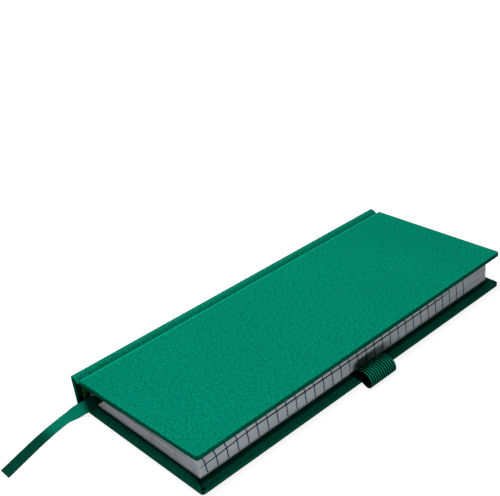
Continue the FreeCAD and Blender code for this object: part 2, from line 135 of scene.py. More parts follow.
class Signal:
    # One output of a shader node. Arithmetic on it adds Math nodes to the same tree.
    def __init__(self, tree, socket=None):
        self.tree = tree
        self.socket = socket

    def node(self, kind, inputs=None, output=0, **settings):
        made = self.tree.nodes.new("ShaderNode" + kind)
        for name, setting in settings.items():
            setattr(made, name, setting)
        for name, given in (inputs or {}).items():
            if isinstance(given, Signal):
                self.tree.links.new(given.socket, made.inputs[name])
            else:
                made.inputs[name].default_value = given
        return Signal(self.tree, made.outputs[output] if made.outputs else None)

    def other(self, output):
        return Signal(self.tree, self.socket.node.outputs[output])

    def math(self, operation, first, second=0.0):
        return self.node("Math", {0: first, 1: second}, operation=operation)

    def __add__(self, value):
        return self.math("ADD", self, value)

    def __sub__(self, value):
        return self.math("SUBTRACT", self, value)

    def __rsub__(self, value):
        return self.math("SUBTRACT", value, self)

    def __mul__(self, value):
        return self.math("MULTIPLY", self, value)

    def __truediv__(self, value):
        return self.math("DIVIDE", self, value)

    def __abs__(self):
        return self.math("ABSOLUTE", self)

    __radd__ = __add__
    __rmul__ = __mul__

    def sine(self):
        return self.math("SINE", self)

    def clamped(self):
        return self.node("Clamp", {"Value": self})

    def over(self, low, high):
        # 0 at low, 1 at high, and clamped outside them.
        return self.node("MapRange", {"Value": self, "From Min": low, "From Max": high})

    def mixed(self, first, second):
        # The first colour where this is 0 and the second where it is 1.
        return self.node("Mix", {0: self, 6: first, 7: second}, 2, data_type="RGBA")


def newMaterial(name):
    material = bpy.data.materials.new(name)
    material.use_nodes = True
    material.node_tree.nodes.clear()
    return material, Signal(material.node_tree)


def axesOf(start, place):
    parts = start.node("SeparateXYZ", {0: place})
    return parts, parts.other(1), parts.other(2)


def ownMap(start):
    # The piece's own map, in millimetres.
    return axesOf(start, start.node("UVMap", uv_map="weave"))[:2]


def objectPlace(start):
    return axesOf(start, start.node("TexCoord", output="Object"))


def attribute(start, name):
    return start.node("Attribute", output="Fac", attribute_name=name)


def noise(start, across, along, layer=0.0, detail=2.0, rough=0.5):
    # Noise whose grains are one unit of the given coordinates.
    place = start.node("CombineXYZ", {0: across, 1: along, 2: layer})
    look = {"Vector": place, "Scale": 1.0, "Detail": detail, "Roughness": rough}
    return start.node("TexNoise", look)


def toned(shade, tone, look):
    # A tone below -0.5 sinks towards the colour of painted shade.
    colour = shade.clamped().mixed(look["dark"], look["light"])
    return (-0.5 - tone).clamped().mixed(colour, look["hollow"])


def addShader(start, look, colour, grain, height):
    # Height is in units of the look's depth, which is in millimetres.
    bump = {"Height": height, "Distance": look["depth"] / 1000, "Strength": 1.0}
    normal = start.node("Bump", bump)
    roughness = look["roughness"] + (grain - 0.5) * look["roughSpread"]
    sockets = {"Base Color": colour, "Roughness": roughness, "Normal": normal}
    shader = start.node("BsdfPrincipled", {**sockets, **look["shader"]})
    start.node("OutputMaterial", {"Surface": shader})


def linear(red, green, blue):
    # A colour of 0 to 255 as the shader's own linear values.
    channels = np.array([red, green, blue]) / 255
    curved = ((channels + 0.055) / 1.055) ** 2.4
    straight = np.where(channels <= 0.04045, channels / 12.92, curved)
    return (*straight.tolist(), 1.0)


def wovenMaterial(name, look):
    # A plain weave: sine across times sine along, with slubs along both sets of threads.
    material, start = newMaterial(name)
    across, along = ownMap(start)
    turn = math.pi / look["thread"]
    weave = (across * turn).sine() * (along * turn).sine()
    slub, grain = look["slub"], look["grain"]
    slubs = noise(start, across / slub, along / grain)
    slubs = slubs + noise(start, across / grain, along / slub, 7.0) - 1.0
    speck = noise(start, across / grain, along / grain, 3.0, detail=3.0, rough=0.7)
    cloud = noise(start, across / look["cloud"], along / look["cloud"], 5.0)
    # The tone attribute carries each piece's tones, most of them painted shade and painted
    # highlights.
    tone = attribute(start, "tone")
    shade = slubs * look["slubTone"] + (speck - 0.5) * look["speckTone"]
    shade = shade + (cloud - 0.5) * look["cloudTone"] + weave * look["weaveTone"] + tone + 0.5
    height = weave * look["weaveHeight"] + slubs * look["slubHeight"] + speck * look["speckHeight"]
    addShader(start, look, toned(shade, tone, look), speck, height)
    return material


bookCloth = {
    "thread": 0.42,  # distance between threads, mm
    "slub": 1.8,  # length of the thick places in a thread
    "grain": 0.55,
    "cloud": 60.0,
    "slubTone": 1.3,
    "speckTone": 1.5,
    "cloudTone": 0.18,
    "weaveTone": 0.08,
    "dark": linear(0, 88, 68),
    "light": linear(3, 168, 134),
    # Painted shade: the colour that the deepest tones sink to.
    "hollow": linear(0, 10, 8),  # cracks, grooves and the bottom of folds
    "roughness": 0.9,
    "roughSpread": 0.2,
    "depth": 0.06,  # relief in mm, and shares of it
    "weaveHeight": 0.3,
    "slubHeight": 0.8,
    "speckHeight": 0.5,
    "shader": {"Specular IOR Level": 0.01},
}
clothMaterial = wovenMaterial("book cloth", bookCloth)

ribbonSatin = dict(
    bookCloth, thread=0.25, slub=3.0, grain=0.3, cloud=20.0, slubTone=0.5, speckTone=0.4,
    dark=linear(0, 56, 44), light=linear(3, 146, 115), roughness=0.6, depth=0.03,
)
ribbonMaterial = wovenMaterial("ribbon", ribbonSatin)

# Its near-black dark colour is the painted shade in the grooves between the ribs.
elasticWeave = dict(
    bookCloth, thread=0.3, slub=1.6, grain=0.35, cloud=9.0, slubTone=0.8, dark=linear(0, 8, 6),
    light=linear(2, 158, 122), roughness=0.8, depth=0.05,
)
elasticMaterial = wovenMaterial("elastic", elasticWeave)

bandWeave = dict(
    bookCloth, thread=0.35, slub=1.2, grain=0.3, cloud=5.0, dark=linear(10, 62, 18),
    light=linear(56, 124, 50), depth=0.05,
)
bandMaterial = wovenMaterial("sewn band", bandWeave)


def solidMaterial(name, look):
    # Pulp or glue: flecks over slow clouds.
    material, start = newMaterial(name)
    axes = objectPlace(start)
    fleck = noise(start, *[axis * (1000 / look["grain"]) for axis in axes], detail=3.0, rough=0.7)
    cloud = noise(start, *[axis * (1000 / look["cloud"]) for axis in axes])
    shade = (fleck - 0.5) * look["fleckTone"] + (cloud - 0.5) * look["cloudTone"] + 0.5
    colour = shade.clamped().mixed(look["dark"], look["light"])
    addShader(start, look, colour, fleck, fleck)
    return material


greyBoard = {
    "grain": 0.8,
    "cloud": 12.0,
    "fleckTone": 1.2,
    "cloudTone": 0.5,
    "dark": linear(140, 136, 126),
    "light": linear(196, 192, 182),
    "roughness": 0.9,
    "roughSpread": 0.2,
    "depth": 0.08,
    "shader": {"Specular IOR Level": 0.2},
}
boardMaterial = solidMaterial("grey board", greyBoard)

gluedMull = dict(
    greyBoard, grain=0.5, dark=linear(150, 142, 122), light=linear(206, 200, 182),
)
mullMaterial = solidMaterial("mull and glue", gluedMull)

ruling = {
    "first": 9.1,  # first blue rule, from the back cover's tail edge
    "spacing": 6.42,
    "count": 31,
    "rule": 0.13,  # half width of a rule on the page
    "mark": 0.36,  # half width of its mark on the edges of the leaves
    "soft": (0.7, 1.3),  # a rule fades between these half widths
    "wander": 0.5,  # sideways drift of the marks
    "wanderRise": 1.3,  # height and length of one drift
    "wanderRun": 30.0,
    "slant": 0.09,  # steady drift per millimetre of height
    "slantFrom": 5.0,
    "columns": (14.2, 51.8, 53.4, 69.5),  # red rules, from the spine's outer face
    "redRule": 0.16,
    "redDrift": 0.5,
    "blueInk": 0.95,
    "redInk": 0.8,
    "redFaded": 0.5,  # what the red loses on the edges
    "blue": linear(62, 100, 160),
    "blueMark": linear(4, 54, 116),
    "red": linear(205, 105, 112),
    "redMark": linear(176, 130, 116),
}
leafPaper = {
    "dark": linear(164, 171, 181),
    "light": linear(244, 248, 253),
    # Painted shade: the colour of the gap between the leaves and of the crevice under them.
    "hollow": linear(20, 16, 16),
    "leaf": 0.14,  # thickness, mm
    "streakRun": 60.0,  # length of the streaks along the cut edges
    "bundleRun": 70.0,
    "bundleRise": 1.1,
    "fibre": 0.6,
    "streakTone": 1.3,
    "bundleTone": 0.9,
    "fibreTone": 0.25,
    "middleTone": 0.62,
    "roughness": 0.85,
    "roughSpread": 0.1,
    "depth": 0.03,
    "fibreHeight": 0.2,
    "shader": {"Specular IOR Level": 0.2},
}


def ruledColour(start, colour, edge, rules):
    # A rule is where the distance to its line is less than its half width. Its marks on the cut
    # edges are wider and drift from leaf to leaf.
    x, y, z = [axis * 1000 for axis in objectPlace(start)]
    x = x - bookCorner[0] * 1000
    y = y - bookCorner[1] * 1000
    drift = noise(start, z / rules["wanderRise"], y / rules["wanderRun"], 2.0) - 0.5
    drift = drift * (2 * rules["wander"]) + (z - rules["slantFrom"]) * rules["slant"]
    y = y + drift * edge

    def ruled(colour, away, half, strength, ink):
        line = 1.0 - (away / half).over(*rules["soft"])
        return (line * strength).mixed(colour, edge.mixed(rules[ink], rules[ink + "Mark"]))

    nearest = start.math("ROUND", (y - rules["first"]) / rules["spacing"])
    ends = {"Value": nearest, "Min": 0.0, "Max": rules["count"] - 1.0}
    away = abs(y - (start.node("Clamp", ends) * rules["spacing"] + rules["first"]))
    half = edge * (rules["mark"] - rules["rule"]) + rules["rule"]
    colour = ruled(colour, away, half, rules["blueInk"], "blue")
    half = edge * rules["mark"] + rules["redRule"]
    strength = rules["redInk"] - edge * rules["redFaded"]
    for column in rules["columns"]:
        away = abs(x + drift * edge * rules["redDrift"] - column)
        colour = ruled(colour, away, half, strength, "red")
    return colour


def paperMaterial(name, look, rules=None):
    # The map runs along the leaves and up through them. Edge is 1 on the cut edges and 0 on pages.
    material, start = newMaterial(name)
    along, up = ownMap(start)
    edge = attribute(start, "edge")
    # The tone attribute carries painted shade in the gap and under the lowest leaf, and painted
    # highlights.
    tone = attribute(start, "tone")
    leaf = up / look["leaf"] / 2.0
    streak = noise(start, along / look["streakRun"], leaf, detail=3.0, rough=0.7)
    bundle = noise(start, along / look["bundleRun"], up / look["bundleRise"], 4.0)
    fibre = noise(start, along / look["fibre"], up / look["fibre"], 9.0, detail=3.0)
    cut = (streak - 0.5) * look["streakTone"] + (bundle - 0.5) * look["bundleTone"]
    shade = edge * cut + (fibre - 0.5) * look["fibreTone"] + tone + look["middleTone"]
    colour = toned(shade, tone, look)
    if rules:
        colour = ruledColour(start, colour, edge, rules)
    addShader(start, look, colour, fibre, edge * streak + fibre * look["fibreHeight"])
    return material


pageMaterial = paperMaterial("ruled pages", leafPaper, ruling)
endpaperMaterial = paperMaterial("endpaper", dict(leafPaper, light=linear(236, 237, 236)))
print("materials made")


def gridFaces(rows, columns, closed=False):
    # Quads between neighbouring rows and columns of points that are numbered row by row.
    row = np.arange(rows - 1)[:, None] * columns
    column = np.arange(columns if closed else columns - 1)[None, :]
    after = (column + 1) % columns
    below = row + columns
    return stacked(row + column, row + after, below + after, below + column).reshape(-1, 4)


def gridPart(points, maps, closed=False):
    # points is rows x columns x 3, and maps rows x columns x 2.
    rows, columns = points.shape[:2]
    return points.reshape(-1, 3), gridFaces(rows, columns, closed), maps.reshape(-1, 2)


def shellPart(outer, inner, maps):
    # Each outer row, followed by its inner row backwards, is one closed outline, and the two end
    # outlines are filled.
    rows, columns = outer.shape[:2]
    around = 2 * columns
    points = joined(outer, inner[:, ::-1], axis=1)
    both = joined(maps, maps[:, ::-1], axis=1)
    faces = [gridFaces(rows, around, closed=True)]
    first = np.arange(columns - 1)
    for end in (0, (rows - 1) * around):
        faces.append(end + stacked(first, first + 1, around - 2 - first, around - 1 - first))
    return points.reshape(-1, 3), np.concatenate(faces), both.reshape(-1, 2)


def newPiece(name, parts, material, tone=None, edge=None, sharp=40.0):
    # Joins the parts, merges what touches and turns every face outwards.
    points, faces, maps = zip(*parts)
    starts = np.cumsum([0] + [len(part) for part in points])
    faces = joined(*[part + begin for part, begin in zip(faces, starts)])
    mesh = bpy.data.meshes.new(name)
    mesh.from_pydata(inFrame(joined(*points)).tolist(), [], faces.tolist())
    corners = np.empty(len(mesh.loops), int)
    mesh.loops.foreach_get("vertex_index", corners)
    mesh.uv_layers.new(name="weave").data.foreach_set("uv", joined(*maps)[corners].ravel())
    for label, values in (("tone", tone), ("edge", edge)):
        if values is not None:
            layer = mesh.attributes.new(label, "FLOAT", "POINT")
            layer.data.foreach_set("value", np.asarray(values, float).ravel())
    work = bmesh.new()
    work.from_mesh(mesh)
    bmesh.ops.remove_doubles(work, verts=work.verts, dist=2e-6)
    bmesh.ops.dissolve_degenerate(work, edges=work.edges, dist=1e-7)
    bmesh.ops.recalc_face_normals(work, faces=work.faces)
    work.to_mesh(mesh)
    work.free()
    mesh.shade_smooth()
    mesh.set_sharp_from_angle(angle=math.radians(sharp))
    mesh.materials.append(material)
    return addObject(name, mesh)


def alongCurve(controls, count):
    # A Hermite cubic between any two controls. The slope at a control is the mean of the slopes
    # either side of it, each weighted by the length of the other piece.
    controls = np.asarray(controls, float)
    before = 2 * controls[0] - controls[1]
    after = 2 * controls[-1] - controls[-2]
    jumps = np.diff(joined([before], controls, [after]), axis=0)
    steps = np.linalg.norm(jumps, axis=1)[:, None]
    slopes = jumps / steps
    slopes = (slopes[:-1] * steps[1:] + slopes[1:] * steps[:-1]) / (steps[:-1] + steps[1:])
    where = np.linspace(0, len(controls) - 1, count)
    piece = np.minimum(where.astype(int), len(controls) - 2)
    t = (where - piece)[:, None]
    span = steps[1:-1][piece]
    ends = (2 * t**3 - 3 * t**2 + 1) * controls[piece] + (3 * t**2 - 2 * t**3) * controls[piece + 1]
    return ends + span * ((t**3 - 2 * t**2 + t) * slopes[piece] + (t**3 - t**2) * slopes[piece + 1])


def lengths(path):
    # The sum of the steps up to each point.
    steps = np.linalg.norm(np.diff(path, axis=0), axis=1)
    return joined([0], np.cumsum(steps))


def headings(path):
    # The change from point to point, made one long.
    steps = np.gradient(path, axis=0)
    return steps / np.linalg.norm(steps, axis=1, keepdims=True)


def rightOf(path):
    # The heading of a flat path, a quarter turn to the right.
    heading = headings(path)
    return stacked(heading[:, 1], -heading[:, 0])


def quarter(radius, steps):
    # A quarter circle: the radius less its cosine, and less its sine.
    angle = np.linspace(0, math.pi / 2, steps)
    return radius * (1 - np.cos(angle)), radius * (1 - np.sin(angle))


def roundedEnds(length, radius, steps=5, between=40):
    # Distances along a piece, and how far its section shrinks: a quarter circle at each end.
    near, shrink = quarter(radius, steps)
    middle = np.linspace(radius, length - radius, between)[1:-1]
    return (
        joined(near, middle, length - near[::-1]),
        joined(shrink, 0 * middle, shrink[::-1]),
    )


def drawnIn(outer, inner, shrink):
    # Moves two facing grids towards each other, never past the middle.
    half = (inner - outer) / 2
    gap = np.linalg.norm(half, axis=-1, keepdims=True)
    share = np.minimum(shrink[:, None, None] / np.maximum(gap, 1e-6), 0.9)
    return outer + half * share, inner - half * share


ribbonShape = {
    "width": 6.7,
    "thick": 0.3,
    "crown": 0.12,  # rise of its middle over its edges
    "bank": 0.45,  # its lean in the fall
    "slant": 1.2,  # of its cut end, to each side
    "slantRun": 12.0,
    "across": 13,  # points across
    "headClear": 1.05,  # from the pages' head to the folded ribbon
    "glued": 20.0,  # on the spine's lining
    "edgeTone": -0.45,  # woven edges
    "nearTone": 0.15,
    # Painted shadow where it comes out of the pages under the front cover.
    "insideShade": -0.9,  # between the leaves
    # Painted shade on the part that lies on the table.
    "farShade": -0.6,  # where it lies on the table
}
# Out of the pages at the tail, down past the back cover's edge and away over the table.
ribbonRoute = [
    *((13.0, 5.0, 8.07), (13.0, 2.8, 8.07), (9.0, -0.6, 4.4), (5.4, -7.0, 1.0)),
    *((5.0, -12.0, 0.25), (7.6, -24.0, 0.25), (12.0, -38.6, 0.25), (16.2, -51.6, 0.25)),
]


def splinePoints(route, resolution=14):
    # The smooth line that has the route's points as its controls.
    curve = bpy.data.curves.new("route", "CURVE")
    curve.dimensions = "3D"
    spline = curve.splines.new("NURBS")
    spline.points.add(len(route) - 1)
    for point, place in zip(spline.points, inFrame(route)):
        point.co = (*place, 1.0)
    spline.order_u = 3
    spline.use_endpoint_u = True
    spline.resolution_u = resolution
    holder = addObject("route", curve)
    bpy.context.view_layer.update()
    smoothed = holder.evaluated_get(bpy.context.evaluated_depsgraph_get())
    mesh = bpy.data.meshes.new_from_object(smoothed)
    places = np.empty(len(mesh.vertices) * 3)
    mesh.vertices.foreach_get("co", places)
    bpy.data.objects.remove(holder)
    bpy.data.curves.remove(curve)
    bpy.data.meshes.remove(mesh)
    return (places.reshape(-1, 3) - bookCorner) * 1000


def ribbonAcross(shape):
    # Places across the ribbon from -1 to 1, closer together towards its edges.
    return np.sin(np.linspace(-math.pi / 2, math.pi / 2, shape["across"]))


def ribbonBand(path, sides, shape, slant=0.0):
    # Each row is the path's point plus the side vector times the distance across, half a thickness
    # either way. The slant moves the end of one edge on and the other back.
    heading = headings(path)
    sides = np.array(sides) - heading * np.sum(sides * heading, axis=1, keepdims=True)
    sides = sides / np.linalg.norm(sides, axis=1, keepdims=True)
    up = np.cross(heading, sides)
    u = ribbonAcross(shape)
    half = shape["thick"] / 2 * np.sqrt(np.clip(1 - u**6, 0.02, 1))
    crown = shape["crown"] * (1 - u**2)
    reach = lengths(path)
    ending = smooth((reach - reach[-1] + shape["slantRun"]) / shape["slantRun"])
    middle = path[:, None] + sides[:, None] * (u[None, :, None] * shape["width"] / 2)
    middle = middle + up[:, None] * crown[None, :, None]
    middle = middle + heading[:, None] * (u[None, :, None] * slant * ending[:, None, None])
    offset = up[:, None] * half[None, :, None]
    maps = stacked(u * shape["width"] / 2, reach[:, None])
    return shellPart(middle + offset, middle - offset, maps)


def ribbonTone(reach, shape):
    # Darker edges, a little lighter overall, a painted shadow over its first 5 to 10 mm under the
    # front cover, and painted shade from 25 mm on.
    edges = shape["edgeTone"] * smooth((np.abs(ribbonAcross(shape)) - 0.86) / 0.1)
    far = shape["farShade"] * smooth((reach[:, None] - 25) / 12)
    inside = shape["insideShade"] * (1 - smooth((reach[:, None] - 5) / 5))
    tone = edges[None, :] + shape["nearTone"] + far + inside
    return joined(tone, tone[:, ::-1], axis=1)


freePath = splinePoints(ribbonRoute)
reach = lengths(freePath)
clear = (freePath[:, 2] - 0.3) / ribbonShape["width"]  # keeps its lower edge off the table
lean = smooth((reach - 2) / 7) * np.minimum(ribbonShape["bank"], 1.6 * clear)
sideways = stacked(1.0, 0 * lean, -lean)
ribbonParts = [ribbonBand(freePath, sideways, ribbonShape, ribbonShape["slant"])]
tone = ribbonTone(reach, ribbonShape)
ribbonTail = newPiece("ribbonTail", ribbonParts, ribbonMaterial, tone=tone)
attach(ribbonTail, "text_block")
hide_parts("ribbon_marker")

# Between the leaves to the head, up over the block's end and glued along the spine's lining.
ribbonX, _, ribbonLevel = ribbonRoute[0]
headEnd = pagesHigh[1] + ribbonShape["headClear"]
flapTop = ribbonLevel - ribbonShape["thick"] / 2 + ribbonShape["width"]
inside = [(y, ribbonLevel) for y in (6.0, 80.0, 150.0, headEnd - 1.5)]
inside += [(headEnd - 0.4, ribbonLevel + 0.1), (headEnd, ribbonLevel + 0.8)]
inside += [(headEnd, flapTop - 1.5), (headEnd, flapTop)]
insidePath = alongCurve([(ribbonX, y, z) for y, z in inside], 60)
gluedX = liningLow[0] - ribbonShape["thick"] / 2
gluedZ = flapTop - ribbonShape["width"] / 2
glued = [(ribbonX + 3, 0.32), (9.0, 0.32), (5.4, 0.3), (gluedX + 0.15, -0.1), (gluedX, -1.0)]
glued += [(gluedX, -ribbonShape["glued"] / 2), (gluedX, -ribbonShape["glued"])]
gluedPath = alongCurve([(x, headEnd + beyond, gluedZ) for x, beyond in glued], 50)
flat = dict(ribbonShape, crown=0.0)
heldParts = [ribbonBand(insidePath, (1, 0, 0), flat), ribbonBand(gluedPath, (0, 0, 1), flat)]
ribbonHeld = newPiece("ribbonHeld", heldParts, ribbonMaterial)
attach(ribbonHeld, "text_block")
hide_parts("ribbon_marker")
print("ribbon made")

coverShape = {
    "edge": 0.4,  # radius of the wrapped board's edges
    "corner": 1.8,  # radius of its corners at the fore-edge
    "jointCorner": 0.35,  # and at the joint
    "points": (14, 40),  # along its short and long sides
    # Outlines by their distance from the edge. The last ones step down off the turned-in cloth.
    "outerInsets": (6, 3, 1.3, 0.85),
    "innerInsets": (0.8, 1.2, 1.6, 2.2, 3.2, 4.4, 5.4, 10, 13.4, 13.8, 14, 14.05),
    "steps": (0.05, 0.2, 0.4),
    "jointInset": 0.45,  # the most at the joint edge, on the inner face
    "mitreDepth": 0.3,
    # Painted shade along the mitre's groove.
    "mitreShade": -1.7,
    # How far the fold strays from the diagonal, at distances from the edge.
    "mitreBow": ((0.4, 1.0, 2.4, 4.2, 7.0, 13.0), (0.0, 0.4, -0.5, -1.7, -1.9, 0.0)),
    # Painted shade over the rim, deeper at the fore corners where the mitres meet it.
    "rimShade": -0.5,
    "rimMitreShade": {"back": -1.5, "front": -0.6},
    "headMitre": 0.35,  # share of the mitre's depth at the head
    # Painted shade on the inner face near the pages.
    "footShade": -1.0,  # the inner face near the pages
    # Painted highlight along the outer face's edge, stronger at the joint.
    "ridgeHighlight": 0.25,
}


def coverColumns(shape):
    # One column per place round a rounded rectangle: the share of the width and the length, the
    # outward direction, and a shift along the side. Columns beside a corner carry the mitre.
    names = "shareX shareY outX outY shiftX shiftY groove head near seam".split()
    normals = np.array([(0, -1), (1, 0), (0, 1), (-1, 0)], float)
    corners = np.array([(0, 0), (1, 0), (1, 1), (0, 1)], float)
    shifts = np.array([0.0, 0.25, 0.55])
    grooves = np.array([1.0, 0.85, 0.0])
    arc = np.linspace(0, math.pi / 2, 7)[1:-1]
    table = []
    for side in range(4):
        begin, end = corners[side], corners[(side + 1) % 4]
        share = np.linspace(0, 1, shape["points"][side % 2] + 2)[1:-1]
        shares = joined(0 * shifts, share, 0 * shifts + 1, 0 * arc + 1)[:, None]
        shift = joined(shifts, 0 * share, -shifts[::-1], 0 * arc)[:, None]
        groove = joined(grooves, 0 * share, grooves[::-1], 0 * arc + 1)[:, None]
        angle = joined(0 * shifts, 0 * share, 0 * shifts, arc)[:, None]
        closest = np.where(shares < 0.5, begin, end)
        fore, head = closest[:, :1], closest[:, 1:]
        near = np.minimum(shares, 1 - shares) == 0
        row = [
            begin + (end - begin) * shares,
            normals[side] * np.cos(angle) + normals[(side + 1) % 4] * np.sin(angle),
            (end - begin) * shift,
            groove * fore * (1 - head * (1 - shape["headMitre"])),
            near * head,
            near,
            fore * (angle == arc[len(arc) // 2]),
        ]
        table.append(np.concatenate(row, axis=1))
    return dict(zip(names, np.concatenate(table).T))


def coverRings(columns, insets, jointInsets, shape):
    # The corner's centre, plus the share of what is left between the corners, plus the outward
    # direction times the corner's radius.
    inset, joint = insets[:, None], jointInsets[:, None]
    radii = np.clip(shape["corner"] - inset, 0, None)
    radius = np.where(columns["shareX"] == 0, np.minimum(radii, shape["jointCorner"]), radii)
    leftX = coverReach - inset - joint - 2 * radius
    leftY = coverLength - 2 * inset - 2 * radius
    x = joint + radius + columns["shareX"] * leftX + columns["outX"] * radius + columns["shiftX"]
    y = inset + radius + columns["shareY"] * leftY + columns["outY"] * radius + columns["shiftY"]
    return x, y


def coverParts(side, shape):
    # Nested outlines with one height each, over the outer face, round the rim and over the
    # turned-in cloth, and a flat grid that closes each side.
    columns = coverColumns(shape)
    rise, fall = quarter(shape["edge"], 6)
    outerCount = len(shape["outerInsets"])
    levelCount = len(shape["innerInsets"]) - len(shape["steps"])
    insets = joined(shape["outerInsets"], fall, fall[::-1], shape["innerInsets"])
    flatHeights = wrapped - joined(np.zeros(levelCount), shape["steps"])
    heights = joined(np.zeros(outerCount), rise, wrapped - rise[::-1], flatHeights)
    order = np.arange(len(insets)) - outerCount
    inner = order >= len(rise)
    jointInsets = np.where(inner, np.minimum(insets, shape["jointInset"]), insets)
    x, y = coverRings(columns, insets, jointInsets, shape)

    # The mitre is a groove from each fore corner inwards, bowed off the diagonal.
    onFace = inner & (insets > 0.5) & (insets < book["turnIn"])
    depth = (smooth((insets - 0.3) / 0.9) * onFace)[:, None]
    z = heights[:, None] - depth * columns["groove"] * shape["mitreDepth"]
    bow = (np.interp(insets, *shape["mitreBow"]) * onFace)[:, None]
    nearFore = columns["near"] * (columns["shareX"] == 1)
    x = x + bow * nearFore * math.sqrt(0.5)
    y = y + bow * nearFore * math.sqrt(0.5) * np.where(columns["head"] > 0.5, -1, 1)

    # The map lays the whole profile flat, from the outermost outline.
    flatInsets = insets[0] - lengths(stacked(insets, heights))
    maps = np.stack(coverRings(columns, flatInsets, flatInsets, shape), -1)

    order = order[:, None]
    joint = columns["outX"] == -1
    onRidge = np.where(joint, (order >= -1) & (order < 2), order == -1)
    onRim = (order >= 0) & (order < 2 * len(rise) - 1)
    rim = shape["rimShade"] + columns["seam"] * shape["rimMitreShade"][side]
    # Painted shade along the mitre grooves, over the rim and on the inner face near the pages, and
    # a painted highlight along the outer face's edge, five times as strong at the joint.
    tone = depth * columns["groove"] * shape["mitreShade"]
    tone = tone + onRidge * shape["ridgeHighlight"] * (1 + 4 * joint)
    tone = tone + inner[:, None] * smooth((insets[:, None] - 3.0) / 1.4) * shape["footShade"]
    tone = tone + onRim * np.where(joint, 0.0, rim)
    parts = [gridPart(stacked(x, y, z), maps, closed=True)]
    tones = [tone.ravel()]
    for ring in (0, -1):
        tail, fore = columns["outY"] == -1, columns["outX"] == 1
        gridX, gridY = np.meshgrid(x[ring, tail], y[ring, fore])
        parts.append(gridPart(stacked(gridX, gridY, z[ring].max()), stacked(gridX, gridY)))
        tones.append(np.zeros(gridX.size))
    return parts, np.concatenate(tones)


def placeBack(points):
    return points + np.array([coverLow[0], 0, 0])


def placeFront(points):
    # The same case turned over about its joint edge, and raised by the tilt.
    x, y, z = points[..., 0], -points[..., 1], -points[..., 2]
    c, s = math.cos(book["tilt"]), math.sin(book["tilt"])
    baseX = coverLow[0] - coverStack * s
    baseZ = book["frontInner"] + coverStack * c
    base = [baseX, coverLength - book["skew"], baseZ]
    return stacked(x * c - z * s, y, x * s + z * c) + base


def pastedownParts(lowMargin, highMargin):
    # The endpaper: level on the turned-in cloth, and a cloth's thickness lower on the bare board,
    # with a soft step between them.
    cloth, paper, turnIn = book["cloth"], book["paper"], book["turnIn"]
    foreEnd = pagesHigh[0] - coverLow[0]

    def ticks(low, high, steps, spread=0.5, count=24):
        fine = [step + np.linspace(-spread, spread, 7) for step in steps]
        return np.unique(joined(np.linspace(low, high, count), *fine).clip(low, high))

    xs = ticks(cloth, foreEnd, [coverReach - turnIn])
    ys = ticks(lowMargin, coverLength - highMargin, [turnIn, coverLength - turnIn], count=50)
    x, y = np.meshgrid(xs, ys)
    inside = [coverReach - turnIn - x, y - turnIn, coverLength - turnIn - y]
    dip = smooth(np.minimum.reduce(inside) / 0.8 + 0.5)
    top = wrapped + paper - cloth * dip
    return [shellPart(stacked(x, y, top), stacked(x, y, top - paper), stacked(x, y))]


def addCover(side, place, margins, body):
    parts, tone = coverParts(side, coverShape)
    parts = [(place(points), faces, maps) for points, faces, maps in parts]
    cover = newPiece(side + "Cover", parts, clothMaterial, tone=tone)
    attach(cover, body)
    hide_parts(side + "_cloth")
    sheet = [(place(points), faces, maps) for points, faces, maps in pastedownParts(*margins)]
    pastedown = newPiece(side + "Pastedown", sheet, endpaperMaterial)
    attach(pastedown, body)
    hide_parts(side + "_pastedown")


tailSquare = pagesLow[1]
headSquare = coverLength - pagesHigh[1]
addCover("back", placeBack, (tailSquare, headSquare), "back_cover")
addCover("front", placeFront, (headSquare - book["skew"], tailSquare + book["skew"]), "front_cover")
print("covers made")

spineShape = {
    "edge": 0.5,  # radius of the spine's long edges
    "end": 0.4,  # radius of its ends
    "wall": spineHigh[0],
    "height": spineHigh[2],
    # Places across, the lip's from the wall's inner face, and depths below the spine's edge.
    "lip": ((-0.9, 0.02), (0.0, 0.25)),
    "slope": (3.6, 0.85),
    "groove": (5.3, 1.8),
    "board": (6.72, 1.05),
    "insideDepth": 0.65,  # from the spine's edge to the wall's inner side
    "mapFrom": 16.0,
    # Painted shade on the strip beside the spine, in the groove by the board, on the ends and on
    # the inner side.
    "stripShade": -0.26,
    "seamShade": -0.45,
    "endShade": -0.55,
    "insideShade": -1.4,  # the hollow between the spine and the pages
}


def wrapProfile(shape):
    # The upper half of the case's end view, from the middle of the spine over its edge and down
    # into the groove. The inner line runs up the wall and then a cloth's thickness under the outer.
    top, middle, wall = shape["height"], shape["height"] / 2, shape["wall"]
    edge, cloth = shape["edge"], book["cloth"]
    grooveX, grooveDepth = shape["groove"]
    boardX, boardDepth = shape["board"]
    groove = top - grooveDepth
    across, down = quarter(edge, 7)
    bend = stacked(across, top - down)
    rise = stacked(0.0, np.linspace(middle, top - edge, 9)[:-1])
    lip = [(wall + across, top - depth) for across, depth in shape["lip"]]
    fall = alongCurve(
        [
            (edge, top),
            *lip,
            (shape["slope"][0], top - shape["slope"][1]),
            (grooveX - 0.6, groove + 0.12),
            (grooveX + 0.1, groove),
            (boardX - 0.5, groove + 0.2),
            (boardX, top - boardDepth),
        ],
        36,
    )[1:]
    outer = joined(rise, bend, fall)
    under = outer + rightOf(outer) * cloth
    inside = np.minimum(outer[:, 1], top - shape["insideDepth"])
    onWall = stacked(wall, inside)
    share = smooth((outer[:, 0] - wall + 0.7) / 0.9)[:, None]
    return outer, onWall * (1 - share) + under * share


